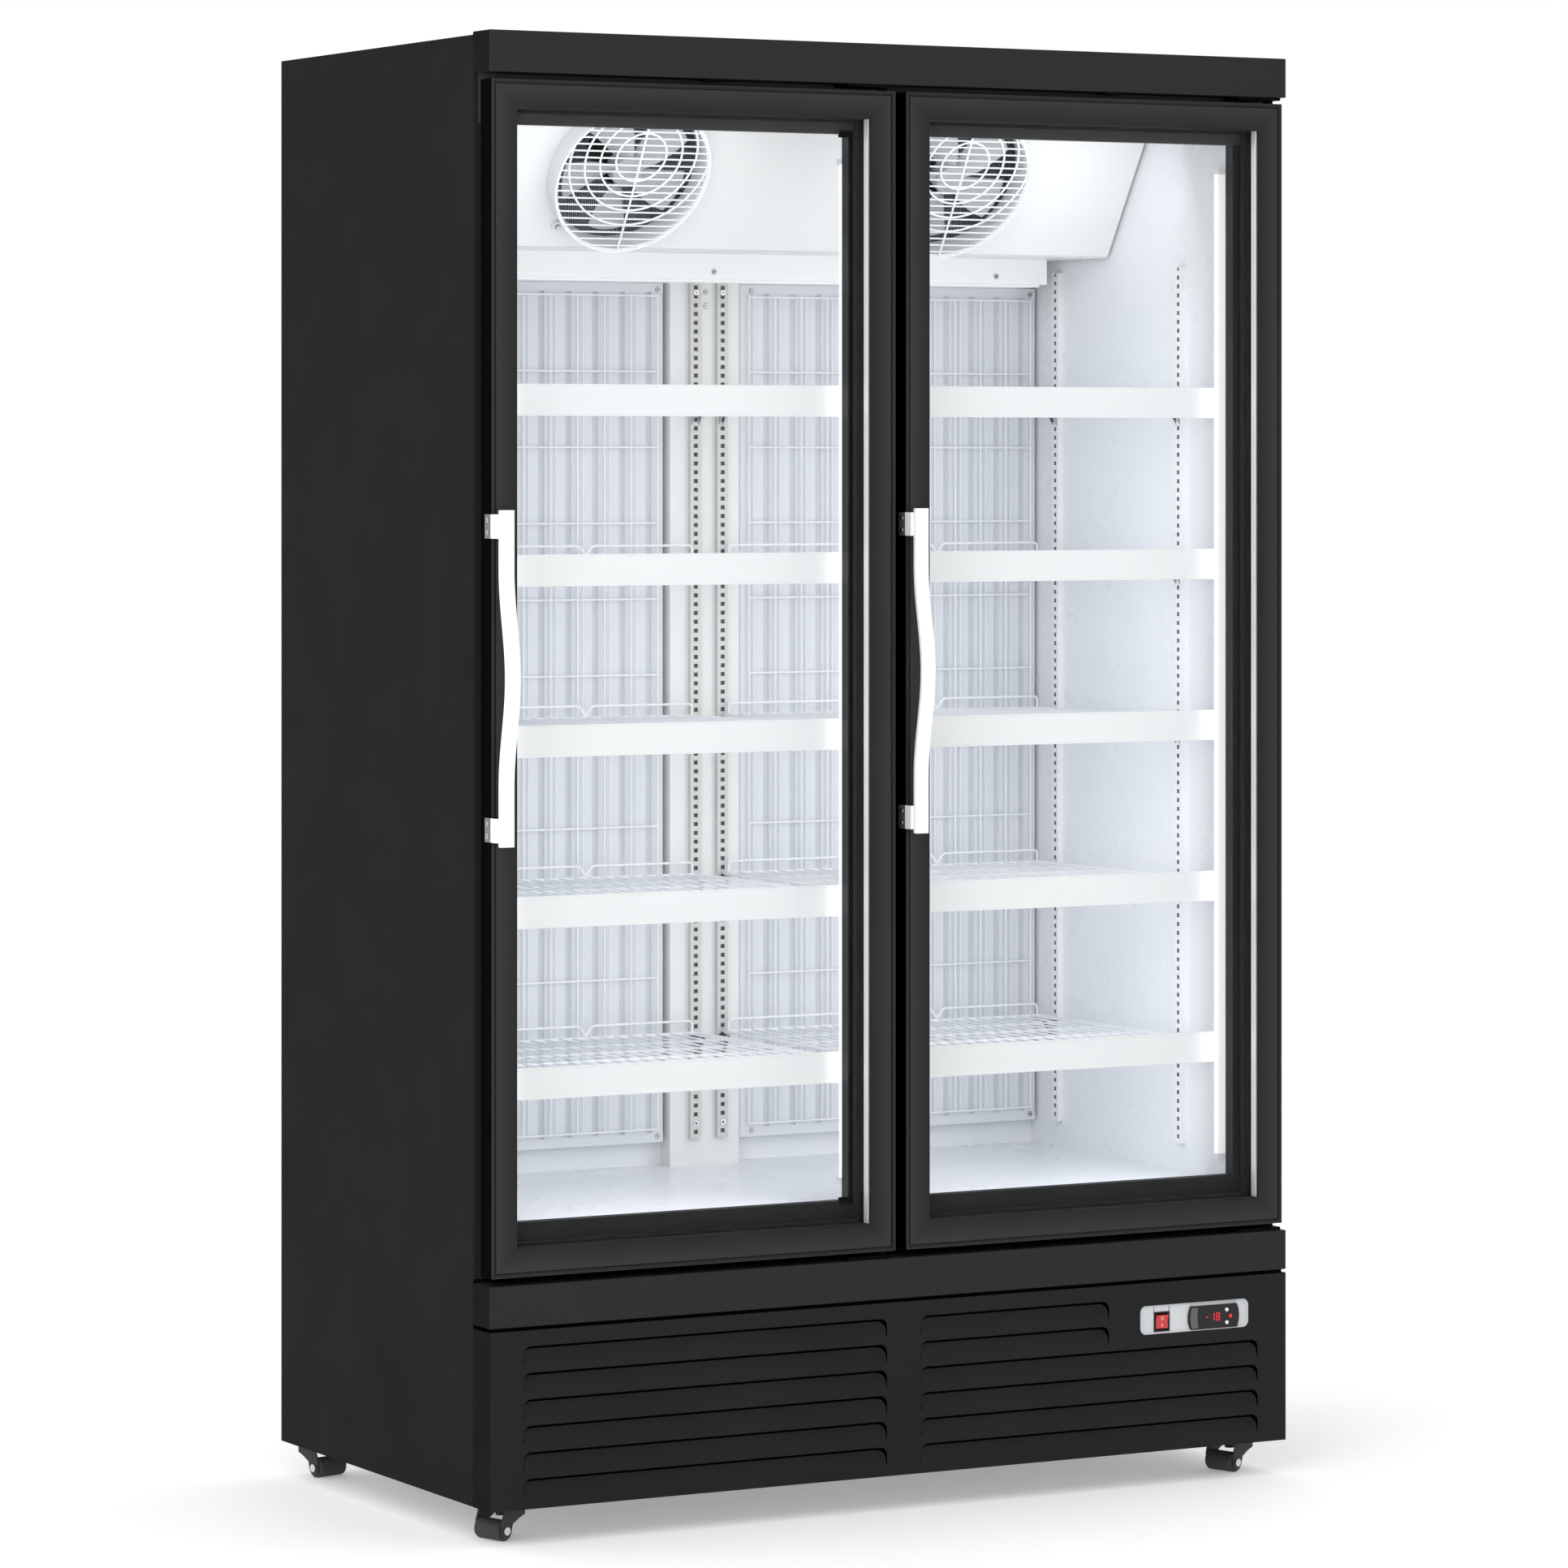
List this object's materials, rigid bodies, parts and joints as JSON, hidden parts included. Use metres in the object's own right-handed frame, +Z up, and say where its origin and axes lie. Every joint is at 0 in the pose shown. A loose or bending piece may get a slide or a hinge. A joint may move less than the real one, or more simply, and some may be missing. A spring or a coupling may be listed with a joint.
{
  "type": "glass door merchandiser",
  "caption": "Tall upright refrigerated display cabinet on low casters, with hinged glass doors, bow handles, wire shelves and a louvred base with switch and thermostat.",
  "frame": {"origin": "on the floor under the middle of the overall box, handles included", "axes": "+Z up, +X to the right seen from the front, front (doors) towards -Y"},
  "size_m": [1.25, 0.713, 1.999],
  "materials": {
    "charcoal_paint": "matte textured powder coat",
    "black_paint": "satin powder coat",
    "door_black": "satin anodised black",
    "black_plastic": "satin moulded",
    "gasket_rubber": "matte",
    "glass": "clear, polished",
    "handle_metal": "satin",
    "white_enamel": "semi-gloss enamel",
    "white_plastic": "semi-gloss",
    "wire_coating": "white coated wire",
    "galvanised": "zinc plated",
    "light_grey_plastic": "satin",
    "red_plastic": "lit switch cap",
    "foam": "rigid foam core",
    "coil_metal": "fins",
    "copper": "drawn tube",
    "compressor_black": "gloss paint",
    "dark_blades": "satin",
    "caster_black": "matte nylon"
  },
  "bodies": {
    "cabinet": {"side_panels": "charcoal_paint", "top_panel": "charcoal_paint", "rear_panel": "galvanised", "base_frame": "galvanised", "foam_insulation": "foam", "inner_liner": "white_enamel", "rear_grille": "charcoal_paint", "face_frame": "black_plastic", "centre_mullion": "black_plastic", "canopy": "black_paint", "lower_rail": "black_paint", "front_grille": "black_paint", "control_plate": "light_grey_plastic", "rocker_bezel": "black_plastic", "thermostat": "black_plastic", "hinge_plates": "black_paint", "shelf_standards": "galvanised", "shelf_clips": "galvanised", "wire_shelves": "wire_coating", "label_strips": "white_plastic", "rear_wire_guards": "wire_coating", "rear_duct": "white_plastic", "evaporator_cover": "white_enamel", "drain_trays": "white_plastic", "fan_guards": "wire_coating", "fan_motors": "compressor_black", "evaporator_coil": "coil_metal", "led_lamps": "white_plastic", "compressor": "compressor_black", "condenser": "coil_metal", "refrigerant_pipes": "copper", "wiring_box": "black_plastic", "caster_plates": "galvanised"},
    "left_door": {"left_door_frame": "door_black", "left_door_sash": "black_plastic", "left_door_gasket": "gasket_rubber", "left_door_glazing": "glass", "left_door_handle": "handle_metal", "left_handle_brackets": "handle_metal"},
    "right_door": {"right_door_frame": "door_black", "right_door_sash": "black_plastic", "right_door_gasket": "gasket_rubber", "right_door_glazing": "glass", "right_door_handle": "handle_metal", "right_handle_brackets": "handle_metal"},
    "power_rocker_body": {"power_rocker": "red_plastic"},
    "button_up_body": {"button_up": "white_plastic"},
    "button_set_body": {"button_set": "red_plastic"},
    "button_down_body": {"button_down": "white_plastic"},
    "evaporator_fan_left_body": {"evaporator_fan_left": "light_grey_plastic"},
    "evaporator_fan_right_body": {"evaporator_fan_right": "light_grey_plastic"},
    "condenser_fan_body": {"condenser_fan": "dark_blades"},
    "swivel_front_left": {"caster_yoke_front_left": "caster_black"},
    "wheel_front_left": {"caster_roller_front_left": "caster_black"},
    "swivel_front_right": {"caster_yoke_front_right": "caster_black"},
    "wheel_front_right": {"caster_roller_front_right": "caster_black"},
    "swivel_rear_left": {"caster_yoke_rear_left": "caster_black"},
    "wheel_rear_left": {"caster_roller_rear_left": "caster_black"},
    "swivel_rear_right": {"caster_yoke_rear_right": "caster_black"},
    "wheel_rear_right": {"caster_roller_rear_right": "caster_black"}
  },
  "joints": [
    {"name": "left_door_hinge", "type": "hinge", "parent": "cabinet", "child": "left_door", "pos_m": [-0.0205, -0.2945, 1.144], "axis": [0, 0, 1], "range_deg": [0, 95], "stiffness_Nm_per_rad": 2, "springref_deg": -34.38},
    {"name": "right_door_hinge", "type": "hinge", "parent": "cabinet", "child": "right_door", "pos_m": [0.608, -0.2945, 1.144], "axis": [0, 0, 1], "range_deg": [0, 100], "stiffness_Nm_per_rad": 2, "springref_deg": -34.38},
    {"name": "power_rocker_tilt", "type": "hinge", "parent": "cabinet", "child": "power_rocker_body", "pos_m": [0.42, -0.3075, 0.228], "axis": [-1, 0, 0], "range_deg": [0, 12]},
    {"name": "button_up_press", "type": "slide", "parent": "cabinet", "child": "button_up_body", "axis": [0, 1, 0], "range_m": [0, 0.0008], "stiffness_N_per_m": 300, "springref_m": -0.0005},
    {"name": "button_set_press", "type": "slide", "parent": "cabinet", "child": "button_set_body", "axis": [0, 1, 0], "range_m": [0, 0.0008], "stiffness_N_per_m": 300, "springref_m": -0.0005},
    {"name": "button_down_press", "type": "slide", "parent": "cabinet", "child": "button_down_body", "axis": [0, 1, 0], "range_m": [0, 0.0008], "stiffness_N_per_m": 300, "springref_m": -0.0005},
    {"name": "evaporator_fan_left_spin", "type": "hinge", "parent": "cabinet", "child": "evaporator_fan_left_body", "pos_m": [-0.266, -0.00689, 1.83633], "axis": [0, -0.8447, -0.5353], "continuous": true},
    {"name": "evaporator_fan_right_spin", "type": "hinge", "parent": "cabinet", "child": "evaporator_fan_right_body", "pos_m": [0.252, -0.00689, 1.83633], "axis": [0, -0.8447, -0.5353], "continuous": true},
    {"name": "condenser_fan_spin", "type": "hinge", "parent": "cabinet", "child": "condenser_fan_body", "pos_m": [-0.325, -0.1345, 0.178], "axis": [0, -1, 0], "continuous": true},
    {"name": "caster_swivel_front_left", "type": "hinge", "parent": "cabinet", "child": "swivel_front_left", "pos_m": [-0.575, -0.2465, 0.041], "axis": [0, 0, 1], "continuous": true},
    {"name": "caster_roll_front_left", "type": "hinge", "parent": "swivel_front_left", "child": "wheel_front_left", "pos_m": [-0.58839, -0.25059, 0.014], "axis": [0.2924, -0.9563, 0], "continuous": true},
    {"name": "caster_swivel_front_right", "type": "hinge", "parent": "cabinet", "child": "swivel_front_right", "pos_m": [0.575, -0.2465, 0.041], "axis": [0, 0, 1], "continuous": true},
    {"name": "caster_roll_front_right", "type": "hinge", "parent": "swivel_front_right", "child": "wheel_front_right", "pos_m": [0.56161, -0.25059, 0.014], "axis": [0.2924, -0.9563, 0], "continuous": true},
    {"name": "caster_swivel_rear_left", "type": "hinge", "parent": "cabinet", "child": "swivel_rear_left", "pos_m": [-0.575, 0.3285, 0.041], "axis": [0, 0, 1], "continuous": true},
    {"name": "caster_roll_rear_left", "type": "hinge", "parent": "swivel_rear_left", "child": "wheel_rear_left", "pos_m": [-0.57138, 0.31498, 0.014], "axis": [0.9659, 0.2588, 0], "continuous": true},
    {"name": "caster_swivel_rear_right", "type": "hinge", "parent": "cabinet", "child": "swivel_rear_right", "pos_m": [0.575, 0.3285, 0.041], "axis": [0, 0, 1], "continuous": true},
    {"name": "caster_roll_rear_right", "type": "hinge", "parent": "swivel_rear_right", "child": "wheel_rear_right", "pos_m": [0.57305, 0.31464, 0.014], "axis": [0.9903, -0.1392, 0], "continuous": true}
  ]
}
